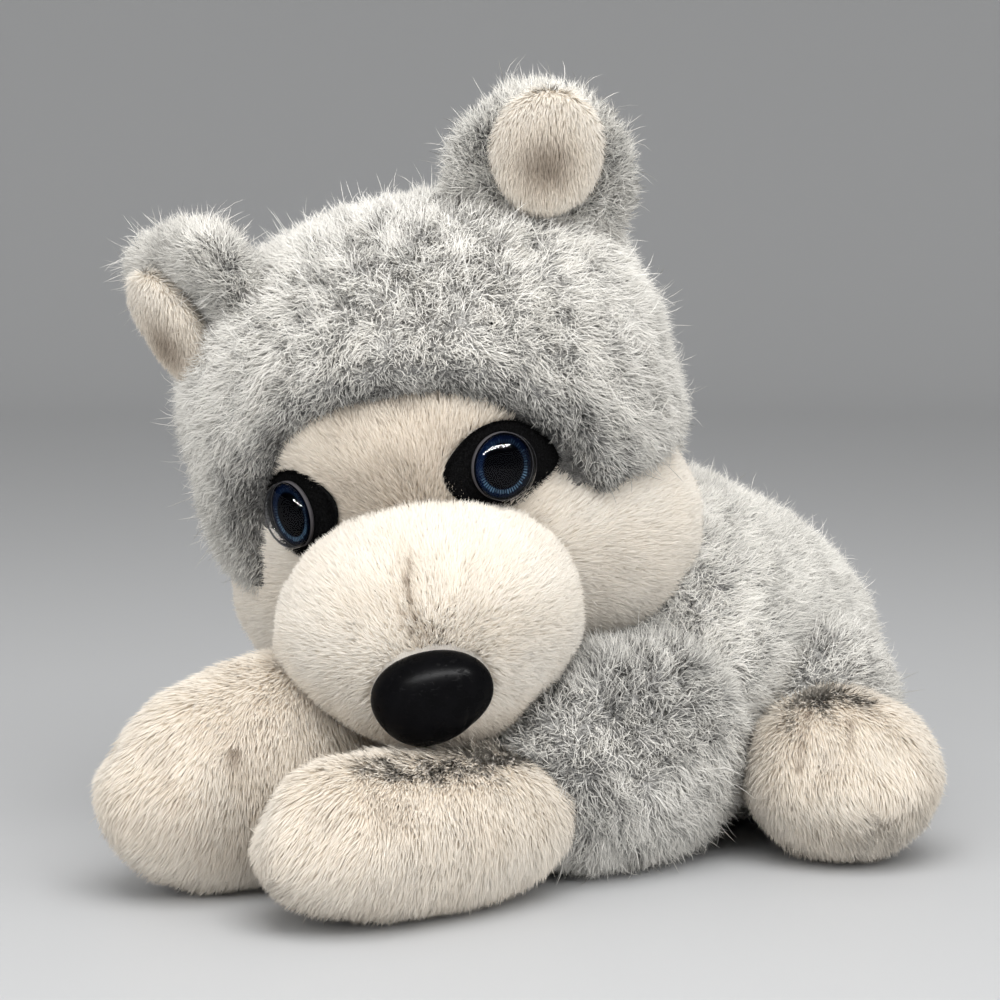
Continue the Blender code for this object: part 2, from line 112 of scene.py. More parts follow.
def spin(axis, degrees):
    """Rotation matrix about one axis, anticlockwise seen from its positive end."""
    c, s = math.cos(math.radians(degrees)), math.sin(math.radians(degrees))
    a, b = [(1, 2), (2, 0), (0, 1)][axis]
    made = np.eye(3)
    made[a, a] = made[b, b] = c
    made[a, b], made[b, a] = -s, s
    return made


def held(middle, turn=0.0, lean=0.0, roll=0.0):
    """Place and rotation: rolled about Y, leaned about X, then turned about Z."""
    return spin(2, turn) @ spin(0, lean) @ spin(1, roll), np.array(middle, float)


def inner(outer, own):
    """A frame given inside another frame."""
    return outer[0] @ own[0], outer[0] @ own[1] + outer[1]


HEAD = held(HEAD_MIDDLE, HEAD_TURN, HEAD_NOD, HEAD_ROLL)


def eye_frame(side):
    """Frame on the face whose Z looks out of the eye."""
    place, outward, upward = EYES[side]
    return inner(HEAD, (spin(2, side * outward) @ spin(0, 90.0 - upward), np.array(place)))


def centring():
    """How far the part was moved when it was centred, from where an eye's washer now is."""
    turned, spot = eye_frame(1)
    drawn = turned @ np.array((0, 0, -WASHER_DEPTH - WASHER_THICK / 2)) + spot
    low, high = (np.array(corner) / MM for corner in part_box("eye_washer_left"))
    return drawn - (low + high) / 2


SHIFT = centring()


# Small whole-array helpers

def unit(v):
    """Vectors of length 1."""
    return v / np.maximum(np.linalg.norm(v, axis=-1, keepdims=True), 1e-9)


def dots(first, second):
    """Dot product of each row with its partner, as a column."""
    return (first * second).sum(1, keepdims=True)


def smooth(low, high, x):
    """0 below low, 1 above high and an S between."""
    t = np.clip((x - low) / (high - low), 0.0, 1.0)
    return t * t * (3 - 2 * t)


def drift(points, size, seed, count=7):
    """Soft random value near -1 to 1: the mean of sine waves in random directions."""
    dice = np.random.default_rng(seed)
    ways = unit(dice.normal(size=(count, 3))) * (2 * math.pi / size) * dice.uniform(0.6, 1.5, (count, 1))
    return np.sin(points @ ways.T + dice.uniform(0, 2 * math.pi, count)).sum(1) / math.sqrt(count)


def drift_way(points, size, seed):
    """Soft random vector, from three such values."""
    return np.stack([drift(points, size, seed + k) for k in (0, 11, 23)], 1)


def bands(index, turned=False):
    """Quads between the rows of an array of corner indices; each row closes on itself."""
    nxt = np.roll(index, -1, 1)
    quads = np.stack([index[:-1], index[1:], nxt[1:], nxt[:-1]], -1).reshape(-1, 4)
    return quads[:, [0, 3, 2, 1]] if turned else quads


def fan(point, ring, turned=False):
    """Triangles from one point to a closed ring of corner indices."""
    made = np.stack([np.full(len(ring), point), ring, np.roll(ring, -1)], 1)
    return made[:, [0, 2, 1]] if turned else made


class Form:
    """Padded form: a ball stretched by its half sizes, swollen near named points, flat on its limits."""

    def __init__(self, frame, half, middle=(0, 0, 0), swells=(), limits=(), dip=None):
        self.turned, self.spot = frame
        self.half = np.array(half, float)
        self.middle = np.array(middle, float)
        self.swells, self.limits, self.dip = swells, limits, dip
        self.lines = ()

    def local(self, ways, deep=0.0):
        """Points of the surface in its own frame, for unit directions, deep below the outside."""
        spot = ways * (self.half - deep) + self.middle
        push = np.zeros(len(ways))
        outside = ways * self.half + self.middle
        for point, spread, lift in self.swells:
            push += lift * np.exp(-(np.linalg.norm(outside - np.array(point), axis=1) / spread) ** 2)
        spot = spot + ways * push[:, None]
        if self.dip:
            spot = self.middle + (spot - self.middle) * (1 - self.dip(spot))[:, None]
        for axis, side, edge in self.limits:
            held_back = np.minimum if side > 0 else np.maximum
            spot[:, axis] = held_back(spot[:, axis], edge)
        return spot

    def out(self, local):
        """Points of the form's own frame, in the common frame."""
        return local @ self.turned.T + self.spot

    def own(self, points):
        """Points of the common frame, in the form's own."""
        return (points - self.spot) @ self.turned

    def covers(self, points, deep=0.0):
        """True for points that lie inside, by more than deep."""
        local = self.own(points) - self.middle
        edge = self.local(unit(local / self.half)) - self.middle
        return np.linalg.norm(local, axis=1) < np.linalg.norm(edge, axis=1) - deep

    def grid(self, rows, columns, deep):
        """Latitude and longitude grid of the surface with a point at each pole."""
        up = (np.arange(1, rows) / rows) * math.pi
        round_ = np.arange(columns) / columns * 2 * math.pi
        a, b = np.meshgrid(up, round_, indexing="ij")
        ways = np.stack([np.sin(a) * np.cos(b), np.sin(a) * np.sin(b), np.cos(a)], -1).reshape(-1, 3)
        ways = np.concatenate([ways, [[0, 0, 1.0], [0, 0, -1.0]]])
        index = np.arange((rows - 1) * columns).reshape(rows - 1, columns)
        caps = np.concatenate([fan(len(ways) - 2, index[0]), fan(len(ways) - 1, index[-1], True)])
        return self.out(self.local(ways, deep)), bands(index), caps


# The forms, with the same values as the solids

def face_depth(local):
    """How far inside the face opening's edge a point of the hood lies, in millimetres."""
    tilted = (local - (-1.0, 0, 0)) @ spin(1, 6.0)
    return (1 - np.hypot(tilted[:, 0] / 48.0, (tilted[:, 2] + 7.5) / 42.5)) * 42.0


def brow_shadow(local):
    """1 along the brow's edge and by the left eye, fading upwards and towards the cheeks."""
    x, y, z = local.T
    edge = smooth(-13.0, -1.0, face_depth(local)) * smooth(-30.0, 8.0, z)
    tuft = np.exp(-(((x - 44) / 7) ** 2 + ((z + 3) / 10) ** 2)) * smooth(0, -8, y)
    return np.maximum(edge * 0.9, tuft)


def hood_dip(local):
    """Share by which the hood sinks under the face inside the face and cheek openings."""
    window = np.where(local[:, 1] < -5, face_depth(local), -20.0)
    cheek_line = (local @ spin(1, -6.0))[:, 2]
    cheek = np.minimum(-14.0 - cheek_line, 10.0 - local[:, 1])
    return 0.24 * smooth(-3.5, 4.5, np.maximum(window, cheek))


def toes(half, depth):
    """Two ditches and three swellings at the front of a paw."""
    half = np.array(half)
    reach = half[1] * 0.86
    ditches = [((x * half[0], -reach, half[2] * 0.35), 6.0, -depth) for x in (-0.36, 0.36)]
    lobes = [((x * half[0], -reach * (1 - 0.16 * abs(x)), 0), 11.0, depth * 0.8)
             for x in (-0.74, 0, 0.74)]
    return tuple(ditches + lobes)


# Toe lines, partly sprayed colour and partly painted shade in the toe grooves: corner points on the unit
# ball of the paw, then width and strength
HIND_LINES = ((((-0.39, -0.38, 0.84), (-0.51, -0.70, 0.50), (-0.58, -0.80, 0.27)), 0.05, 0.40),
              (((0.0, -0.57, 0.83), (-0.06, -0.86, 0.53)), 0.05, 0.36))
PAW_LINES = {
    "hind_paw_left": HIND_LINES,
    "hind_paw_right": tuple((tuple((-x, y, z) for x, y, z in corners), width, strength)
                            for corners, width, strength in HIND_LINES),
    "forepaw_left": ((((0.56, -0.73, 0.63), (0.74, -0.69, 0.40)), 0.09, 0.26),),
    "forepaw_right": ((((0.80, -0.43, 0.46), (0.88, -0.46, 0.24)), 0.06, 0.42),
                      (((0.38, -0.80, 0.33), (0.70, -0.81, 0.06)), 0.09, 0.16)),
}


def limb(x, y, height, half, swells=(), turn=0.0):
    """A form that lies on the floor."""
    return Form(held((x, y, height), turn), half, (0, 0, 0), swells, ((2, -1, -height + 0.15),))


def ear(side):
    """Outer ear and its lining."""
    fold = (((0, 10, 0), 16, -4), ((0, -10, 6), 14, -3))
    if side > 0:
        place = inner(HEAD, held((46.5, -2, 67), 4, 8, 20))
        outer = Form(place, (27, 12, 29), (0, 3, 0), fold)
        return outer, Form(place, (15.5, 7, 18), (0.5, -10, 13), (((0, -16, 9), 9, -3),))
    place = inner(HEAD, held((-49.5, -4, 55), -44, 12, -10))
    corners = (((-20, 0, 20), 13, 5), ((18, 0, 20), 14, 5))
    outer = Form(place, (27, 12, 27), (0, 3, 0), fold + corners)
    return outer, Form(place, (13, 7.5, 19.5), (0, -10, 2.5), (((0, -16, 2), 9, -2),))


def build_forms():
    """Every padded form by its node's name."""
    made = {}
    made["hood"] = Form(HEAD, (67, 63, 69), (1, 3, 4), (
        ((50, 0, 48), 30, 10), ((-50, 0, 48), 30, 9), ((60, -10, -12), 26, 2),
        ((-60, -10, -12), 26, 2), ((0, -40, 52), 30, 3)), dip=hood_dip)
    made["face"] = Form(HEAD, (57, 55, 57), (0, 0, -9), (
        ((50, -2, -32), 26, 13), ((-50, -2, -30), 24, 12), ((34, -12, -54), 22, 3),
        ((-34, -12, -54), 22, 5), ((0, -40, 28), 22, 3), ((-1, -50, 12), 18, 6),
        ((22, -42, 28), 15, 4), ((-24, -42, 28), 15, 5),
        ((41, -36, 2), 13, -6), ((-44, -36, 2), 13, -1)), ((1, 1, 12.0),))
    made["muzzle"] = Form(HEAD, (39.5, 37, 32.5), (-3, -57, -26), (
        ((20, -80, -12), 20, 3), ((-24, -80, -12), 20, 3), ((26, -74, -48), 18, -2),
        ((-30, -74, -48), 18, -4), ((-2, -84, -50), 14, 2)))
    hump = (((6, 58, 94), 42, 9), ((6, 22, 90), 30, 7))
    neck = (((46, 4, 66), 30, -16), ((-34, 4, 66), 30, -16))
    waist = (((60, 66, 20), 24, -5), ((-48, 66, 20), 24, -7), ((50, 34, 42), 24, 6))
    swells = tuple((np.array(p) - BODY_MIDDLE, s, a) for p, s, a in hump + neck + waist)
    made["body"] = Form(held(BODY_MIDDLE), (50, 86, 49), (0, 0, 0), swells, ((2, -1, -41.85),))
    made["tail"] = limb(-10, 150, 12, (15, 34, 13), turn=24)
    made["forepaw_left"] = limb(33, -63, 19.5, (26.5, 48, 21.5),
                                toes((26.5, 48, 21.5), 3.0) + (((0, -36, 14), 17, 6),), -3)
    made["forepaw_right"] = limb(-18, -77.5, 27, (25.5, 40, 29),
                                 toes((25.5, 40, 29), 3.0) + (((4, 26, 20), 24, 9),), -6)
    for name, x, y in (("left", 39, 4), ("right", -24, -16)):
        made["foreleg_" + name] = limb(x, y, 28, (26, 47, 32), (((0, 26, 20), 24, 4),))
    for name, side in (("left", 1), ("right", -1)):
        made["haunch_" + name] = limb(6 + side * 38, 85, 28, (25, 40, 33), turn=side * 26)
        made["hind_paw_" + name] = limb(6 + side * 70, 51, 22.3, (27.2, 30, 23.8),
                                        toes((27.2, 30, 23.8), 2.6), side * 42)
        made["ear_outer_" + name], made["ear_lining_" + name] = ear(side)
    for name, lines in PAW_LINES.items():
        made[name].lines = lines
    return made


FORMS = build_forms()


# Putting arrays into meshes

def put_mesh(name, points, polygons, paint, values=None, uv=None, normals=None):
    """One object from points in millimetres and arrays of corner indices, one array per corner count."""
    mesh = bpy.data.meshes.new(name)
    corners = np.concatenate([block.reshape(-1) for block in polygons]).astype(np.int32)
    counts = np.concatenate([np.full(len(block), block.shape[1]) for block in polygons])
    starts = np.concatenate([[0], np.cumsum(counts)[:-1]]).astype(np.int32)
    mesh.vertices.add(len(points))
    mesh.loops.add(len(corners))
    mesh.polygons.add(len(counts))
    mesh.vertices.foreach_set("co", ((points - SHIFT) * MM).astype(np.float32).ravel())
    mesh.loops.foreach_set("vertex_index", corners)
    mesh.polygons.foreach_set("loop_start", starts)
    mesh.polygons.foreach_set("use_smooth", np.ones(len(counts), bool))
    if uv is not None:
        layer = mesh.uv_layers.new(name=MAP)
        layer.uv.foreach_set("vector", uv[corners].astype(np.float32).ravel())
    for key, value in (values or {}).items():
        mesh.attributes.new(key, "FLOAT", "POINT").data.foreach_set("value", value.astype(np.float32))
    mesh.update(calc_edges=True)
    mesh.validate()
    if normals is not None:
        mesh.normals_split_custom_set_from_vertices(normals.astype(np.float32))
    mesh.materials.append(paint)
    item = bpy.data.objects.new(name, mesh)
    bpy.context.scene.collection.objects.link(item)
    return item


def vertex_normals(points, polygons):
    """Normals of a mesh's points: the sum of the cross products of each face's diagonals."""
    total = np.zeros_like(points)
    for block in polygons:
        p = points[block]
        way = np.cross(p[:, 2] - p[:, 0], p[:, -1] - p[:, 1])
        for corner in range(block.shape[1]):
            np.add.at(total, block[:, corner], way)
    return unit(total)


def put_skin(name, form, rows, columns, deep, paint, tone=None):
    """The padded fabric under the pile: the form's grid, sunk by the pile's depth."""
    points, quads, caps = form.grid(rows, columns, deep)
    values = {} if tone is None else {"tone": tone(points)}
    return put_mesh(name, points, [quads, caps], paint, values)


def put_turned(name, place, profile, steps, paint, attributes=None):
    """A profile of radius and height carried round the frame's Z axis; the ends close at the axis.
    Its map is the view along Z, with the widest radius at the map's edge."""
    turned, spot = place
    radius, height = np.array(profile, float).T
    angle = np.arange(steps) / steps * 2 * math.pi
    r, a = np.meshgrid(radius[1:-1], angle, indexing="ij")
    h = np.repeat(height[1:-1], steps).reshape(r.shape)
    body = np.stack([r * np.cos(a), r * np.sin(a), h], -1).reshape(-1, 3)
    local = np.concatenate([body, [[0, 0, height[0]], [0, 0, height[-1]]]])
    index = np.arange(r.size).reshape(r.shape)
    quads = bands(index, True)
    caps = np.concatenate([fan(len(body), index[0], True), fan(len(body) + 1, index[-1])])
    values = attributes(local) if attributes else {}
    flat = local[:, :2] / (2 * radius.max()) + 0.5
    return put_mesh(name, local @ turned.T + spot, [quads, caps], paint, values, uv=flat)


# Pile

class Hair:
    """One kind of hair: how many, how long and wide, of how many pieces, and how it stands.

    stance and sweep are the shares of skin normal, combing, tuft and chance in the direction at the
    root and at the tip; wild is the share of hairs whose tips point anywhere."""

    def __init__(self, kind, count, length, width, joints, stance, sweep, wild=0.0):
        self.kind, self.count, self.length, self.width, self.joints = kind, count, length, width, joints
        self.stance, self.sweep, self.wild = stance, sweep, wild


class Coat:
    """The pile of one region: depth of its skin, the point that it is combed away from, its tone and
    kinds of hair, how far it hangs, and where it grows and is short."""

    def __init__(self, skin, source, shade, hairs, sag=0.0, keep=None, short=None, grey=True):
        self.skin, self.source, self.shade, self.hairs = skin, np.array(source, float), shade, hairs
        self.sag, self.keep, self.short, self.grey = sag, keep, short, grey


RISE = math.radians(VIEW_RISE)
VIEW_WAY = spin(2, VIEW_TURN) @ np.array((0, -math.cos(RISE), math.sin(RISE)))


def roots(name, form, coat, count, dice):
    """Random points on the skin, even over its area but thinner at the back, none under a neighbour."""
    points, quads, caps = form.grid(*ROOT_GRID, coat.skin)
    normals = vertex_normals(points, [quads, caps])
    corners = points[quads]
    middle = corners.mean(1)
    facing = unit(normals[quads].mean(1))
    area = np.linalg.norm(np.cross(corners[:, 2] - corners[:, 0], corners[:, 3] - corners[:, 1]), axis=1)
    weight = area * (0.5 + 0.5 * smooth(-0.35, 0.25, facing @ VIEW_WAY))
    weight *= smooth(0.5, 3.0, middle[:, 2])
    for other, neighbour in FORMS.items():
        if other != name:
            sunk = 5.0 if other in GREY else 3.0
            weight[neighbour.covers(middle, sunk)] = 0.0
    weight[eye_room(middle) | nose_room(middle)] = 0.0
    if coat.keep:
        weight *= coat.keep(form.own(middle))
    pick = dice.choice(len(quads), count, p=weight / weight.sum())
    a, b = dice.random((2, count, 1))
    blend = lambda field: ((1 - a) * (1 - b) * field[quads[pick, 0]] + a * (1 - b) * field[quads[pick, 1]]
                           + a * b * field[quads[pick, 2]] + (1 - a) * b * field[quads[pick, 3]])
    spots, ways = blend(points), unit(blend(normals))
    good = ~(eye_room(spots) | nose_room(spots))
    return spots[good], ways[good]


def almond(angle, side):
    """Distance of the patch edge from the eye's middle: an oval whose outer corner droops to a point."""
    plain = 1 / np.hypot(np.cos(angle) / (PATCH_LENGTH * 0.82), np.sin(angle) / PATCH_HEIGHT)
    toward = lambda way: (angle - way + math.pi) % (2 * math.pi) - math.pi
    flip = lambda rise, hand: math.radians(rise) if hand > 0 else math.pi - math.radians(rise)
    outer = np.exp(-(toward(flip(OUTER_RISE, side)) / 0.32) ** 2)
    inward = np.exp(-(toward(flip(INNER_RISE, -side)) / 0.38) ** 2)
    return plain + OUTER_POINT * outer + INNER_POINT * inward


def eye_room(points):
    """True where no hair may grow, on a felt patch."""
    inside = np.zeros(len(points), bool)
    for side in (1, -1):
        turned, spot = eye_frame(side)
        own = (points - spot) @ turned
        edge = almond(np.arctan2(own[:, 1], own[:, 0]), side)
        inside |= (np.hypot(own[:, 0], own[:, 1]) < edge - FELT_MARGIN) & (own[:, 2] > -9)
    return inside


def nose_room(points):
    """True where no hair may grow, under the nose."""
    own = (points - HEAD[1]) @ HEAD[0] - NOSE_MIDDLE
    return np.linalg.norm(own / NOSE_ROOM, axis=1) < 1.0


def grow(name, form, coat, hair, count, paint, seed):
    """Each hair leaves its root along one direction, start, and bends evenly into another, end: a share t
    along it lies at length (start (t - t²/2) + end t²/2). It is a ribbon of hair.joints pieces whose width
    falls to nothing at the tip. Its flat side faces outward and up, turned a little by chance, on the side
    that the viewer is on, and it is shaded by the skin's normal, so that the pile looks soft."""
    dice = np.random.default_rng(seed)
    spots, normals = roots(name, form, coat, count, dice)
    n = len(spots)
    own = form.own(spots)
    flow = unit(own - coat.source) @ form.turned.T
    comb = unit(flow - normals * dots(flow, normals))
    tuft = drift_way(spots, TUFT_SIZE, sum(map(ord, name)) % 97)
    chance = lambda: dice.normal(size=(n, 3))
    wild = (dice.random(n) < hair.wild)[:, None]
    mixed = lambda parts: parts[0] * normals + parts[1] * comb + parts[2] * tuft + parts[3] * chance()
    start = unit(mixed(hair.stance) - (0, 0, coat.sag))
    end = unit(np.where(wild, 0.6 * normals + chance(), mixed(hair.sweep)) - (0, 0, 0.05 + coat.sag))
    low_ends = smooth(0.1, 1.0, dots(end, normals) + 0.6)
    end = unit(end + normals * (1 - low_ends) * 0.8)
    length = dice.uniform(*hair.length, n) * (1 + 0.10 * drift(spots, 16, 5))
    length = np.where(wild[:, 0], length * 1.2, length) * (coat.short(own) if coat.short else 1.0)
    steps = np.linspace(0, 1, hair.joints + 1) ** 0.9
    outside = np.where((normals @ VIEW_WAY)[:, None] > -0.25, VIEW_WAY, VIEW_WAY * (-1, -1, 1))
    out = unit(0.6 * normals + outside + (0, 0, 0.6) + 0.25 * chance())
    side = unit(out - start * dots(out, start))
    middle = unit(start + end)
    facing = np.where(dots(out, outside) < dots(out, middle) * dots(middle, outside), -1.0, 1.0)
    rows = []
    for t in steps:
        spot = spots + length[:, None] * (start * (t - t * t / 2) + end * (t * t / 2))
        if t < 1:
            tangent = unit(start * (1 - t) + end * t)
            across = unit(np.cross(tangent, out)) * (facing * hair.width * (1 - 0.35 * t) / 2)
            rows += [spot - across, spot + across]
        else:
            rows.append(spot)
    points = np.stack(rows, 1)
    points[..., 2] = np.maximum(points[..., 2], 0.25)
    tone = np.clip(coat.shade(form, spots, own, dice), 0.02, 0.98)
    uv = np.zeros((n, len(rows), 2))
    for k, t in enumerate(steps):
        for edge in ((-1, 1) if t < 1 else (0,)):
            row = 2 * k + (edge > 0)
            uv[:, row, 0] = tone + 0.004 * edge
            uv[:, row, 1] = 0.02 + 0.96 * t
    base = np.arange(n)[:, None] * len(rows)
    quads = [base + np.array([2 * k, 2 * k + 1, 2 * k + 3, 2 * k + 2]) for k in range(hair.joints - 1)]
    last = 2 * (hair.joints - 1)
    tips = base + np.array([last, last + 1, last + 2])
    shading = np.repeat(unit(normals + 0.25 * side + 0.22 * chance()), len(rows), axis=0)
    return put_mesh(name + "_" + hair.kind, points.reshape(-1, 3), quads + [tips], paint,
                    uv=uv.reshape(-1, 2), normals=shading)


# Tones, from 0 (sprayed or shaded dark) to 1 (palest)

# Where the grey pile is painted darker or paler: painted shade under the chin, at the neck, on the lower
# foreleg, low on the body and in the gaps beside an ear lining, and one slightly paler spot on the top of
# the body; place before centring, spread, change of tone
GREY_SHADE_SPOTS = (((44, -10, 55), 14, -0.40), ((38, 16, 56), 13, -0.36), ((55, -32, 28), 12, -0.28),
              ((60, 8, 40), 8, -0.22), ((48, 20, 92), 26, 0.06), ((56, 40, 14), 20, -0.12),
              ((9, -16, 187), 5, -0.55), ((32, 7, 184), 5, -0.40))


def grey_shade(form, spots, own, dice):
    """Uneven silver with darker threads and spots, mostly painted shade; on the hood, painted top light on
    the crown and painted shadow along the brow.
    """
    tone = 0.76 + 0.08 * drift(spots, 26, 3) + 0.08 * drift(spots, 9, 8)
    tone = tone + 0.16 * dice.normal(size=len(spots))
    tone = tone - 0.16 * np.exp(-(drift(spots, 34, 9) / 0.16) ** 2)
    for spot, spread, change in GREY_SHADE_SPOTS:
        tone = tone + change * np.exp(-(np.linalg.norm(spots - np.array(spot), axis=1) / spread) ** 2)
    if form.dip:
        # painted light: the hood is paler towards the crown, as if lit from above; painted shadow along
        # the brow and by the left eye
        tone = tone + 0.32 * smooth(10, 50, own[:, 2]) - 0.62 * brow_shadow(own)
    return tone


def cream_base(spots, dice):
    """Pale cream, a little uneven."""
    return 0.84 + 0.04 * drift(spots, 22, 4) + 0.05 * dice.normal(size=len(spots))


def face_shade(form, spots, own, dice):
    """Tan between the eyes."""
    x, y, z = own.T
    bridge = np.exp(-((x / 36) ** 2 + ((z - 12) / 24) ** 2)) * smooth(-30, -42, y)
    return cream_base(spots, dice) - 0.33 * bridge


def muzzle_shade(form, spots, own, dice):
    """A broken, swaying line up the middle, and brown under the nose: partly sprayed colour, partly
    painted shade where the chin sits on the paw.
    """
    x, y, z = own.T
    sway = x - 0.5 + 0.9 * np.sin(z / 2.4)
    line = np.exp(-(sway / 2.2) ** 2) * smooth(-23, -18, z) * smooth(4, -4, z)
    line = line * smooth(-70, -80, y) * (0.70 + 0.45 * drift(spots, 4, 12))
    # under the nose: partly sprayed brown, partly painted shade where the chin meets the paw
    under = np.exp(-(((x - 0.5) / 17) ** 2 + ((z + 49) / 7) ** 2)) * smooth(-66, -76, y)
    return cream_base(spots, dice) - 0.50 * line - 0.34 * under


def reach_to(points, first, last):
    """Distance of points from the straight line between two points."""
    way = last - first
    along = np.clip((points - first) @ way / (way @ way), 0.0, 1.0)
    return np.linalg.norm(points - first - along[:, None] * way, axis=1)


def paw_shade(form, spots, own, dice):
    """Toe lines, broken by chance: partly sprayed colour, partly painted shade in the toe grooves."""
    tone = cream_base(spots, dice) - 0.12
    broken = 0.8 + 0.3 * drift(spots, 6, 6)
    ball = unit(own / form.half)
    for corners, width, strength in form.lines:
        nearest = np.full(len(own), np.inf)
        for first, last in zip(corners[:-1], corners[1:]):
            nearest = np.minimum(nearest, reach_to(ball, np.array(first), np.array(last)))
        # darker along each toe line: partly sprayed colour, partly painted shade in the groove
        tone = tone - strength * broken * np.exp(-(nearest / width) ** 2)
    return tone


def lining_shade(form, spots, own, dice):
    """Brown painted shade in the lining's hollow middle."""
    x, z = own[:, 0] - form.middle[0], own[:, 2] - form.middle[2]
    # painted shade: darker brown in the hollow middle of the lining
    middle = np.exp(-((x / 10) ** 2 + ((z + 1) / 11) ** 2))
    return cream_base(spots, dice) + 0.10 - 0.66 * middle


GREY = ("hood", "body", "tail", "foreleg_left", "foreleg_right", "haunch_left", "haunch_right",
        "ear_outer_left", "ear_outer_right")


def hood_keep(local):
    """No hairs where the hood lies under the face."""
    return 1 - smooth(0.17, 0.22, hood_dip(local))


def hood_short(local):
    """Share of the full length: shorter towards the opening's edge and on the slope inside it."""
    depth = face_depth(local)
    cut = 0.35 * smooth(-11.0, -2.0, depth) + 0.25 * smooth(-2.0, 3.0, depth)
    return 1 - cut * smooth(0, -10, local[:, 1])


# How hairs stand: shares of skin normal, combing, tuft and chance
CURL_STANCE, CURL_SWEEP = (1.0, 0.18, 0.22, 0.25), (0.45, 0.50, 0.45, 0.62)
STRAY_SWEEP = (0.4, 0.2, 0.5, 1.3)
UNDER_STANCE, UNDER_SWEEP = (1.0, 0.30, 0.20, 0.32), (0.8, 0.4, 0.3, 0.4)
SHORT_STANCE, SHORT_SWEEP = (1.0, 0.65, 0.10, 0.14), (0.60, 0.85, 0.16, 0.22)
UPRIGHT = (SHORT_STANCE, SHORT_SWEEP, (1.0, 0.55, 0.14, 0.24))
LAID = ((1.0, 0.85, 0.12, 0.16), (0.55, 1.0, 0.16, 0.24), (1.0, 0.85, 0.12, 0.16))


def grey_coat(curls, under, stray, source, length=(5.0, 7.6), **extra):
    """Long curly pile over a short one, with a few strays."""
    low, high = length
    return Coat(GREY_DEPTH, source, grey_shade, (
        Hair("pile", curls, length, HAIR_WIDTH, 2, CURL_STANCE, CURL_SWEEP),
        Hair("underpile", under, (low * 0.76, high * 0.84), UNDER_WIDTH, 1, UNDER_STANCE, UNDER_SWEEP),
        Hair("strays", stray, (high * 1.1, high * 1.5), STRAY_WIDTH, 4, CURL_STANCE, STRAY_SWEEP, 0.6)),
        **extra)


def cream_coat(pile, under, source, shade, length=(3.6, 4.8), lay=UPRIGHT, sag=0.0):
    """Short dense pile; lay holds the stance and sweep of its hairs and the stance of its underpile."""
    low, high = length
    return Coat(low * CREAM_DEPTH, source, shade, (
        Hair("pile", pile, length, HAIR_WIDTH, 2, lay[0], lay[1], 0.02),
        Hair("underpile", under, (low * 0.80, high * 0.9), UNDER_WIDTH, 1, lay[2], lay[2])),
        sag=sag, grey=False)


def paw_coat(pile, under, source):
    """Cream pile of a paw, which lies down and hangs."""
    return cream_coat(pile, under, source, paw_shade, (4.2, 5.8), LAID, 0.60)


COATS = {
    "hood": grey_coat(42000, 50000, 1100, (0, 10, 62), keep=hood_keep, short=hood_short),
    "body": grey_coat(30000, 40000, 700, (0, -70, 30), length=(4.8, 7.2)),
    "tail": grey_coat(2500, 4000, 60, (0, -40, 0)),
    "foreleg_left": grey_coat(8000, 12000, 200, (0, 40, 30)),
    "foreleg_right": grey_coat(3000, 4500, 60, (0, 40, 30)),
    "haunch_left": grey_coat(5000, 8000, 100, (0, 40, 30)),
    "haunch_right": grey_coat(4000, 6000, 80, (0, 40, 30)),
    "ear_outer_left": grey_coat(8500, 10000, 420, (0, 0, -40)),
    "ear_outer_right": grey_coat(7500, 9000, 420, (0, 0, -40)),
    "face": cream_coat(19000, 36000, (0, -60, -30), face_shade, lay=LAID),
    "muzzle": cream_coat(19000, 38000, (0, -96, -33), muzzle_shade, (3.4, 4.4)),
    "forepaw_left": paw_coat(12000, 22000, (0, 60, 45)),
    "forepaw_right": paw_coat(10500, 20000, (8, 46, 50)),
    "hind_paw_left": paw_coat(8000, 15000, (-20, 70, 30)),
    "hind_paw_right": paw_coat(4500, 8000, (20, 70, 30)),
    "ear_lining_left": cream_coat(3500, 7000, (0, 6, 46), lining_shade, (3.0, 4.0), LAID, 0.2),
    "ear_lining_right": cream_coat(3000, 6000, (0, 6, 40), lining_shade, (3.0, 4.0), LAID, 0.2),
}


# Shader maths

class Wire:
    """A socket with arithmetic; each expression adds its Math node."""

    def __init__(self, shade, socket):
        self.shade, self.socket = shade, socket

    def made(self, kind, *values):
        node = self.shade.node("ShaderNodeMath", {"operation": kind}, dict(enumerate(values)))
        return Wire(self.shade, node.outputs[0])

    def __add__(self, other):
        return self.made("ADD", self, other)

    def __sub__(self, other):
        return self.made("SUBTRACT", self, other)

    def __rsub__(self, other):
        return self.made("SUBTRACT", other, self)

    def __mul__(self, other):
        return self.made("MULTIPLY", self, other)

    def __pow__(self, other):
        return self.made("POWER", self, other)

    __radd__, __rmul__ = __add__, __mul__

    def between(self, low, high):
        """0 below low and 1 above high, smoothly."""
        node = self.shade.node("ShaderNodeMapRange", {"interpolation_type": "SMOOTHSTEP"},
                               {"Value": self, "From Min": low, "From Max": high})
        return Wire(self.shade, node.outputs[0])


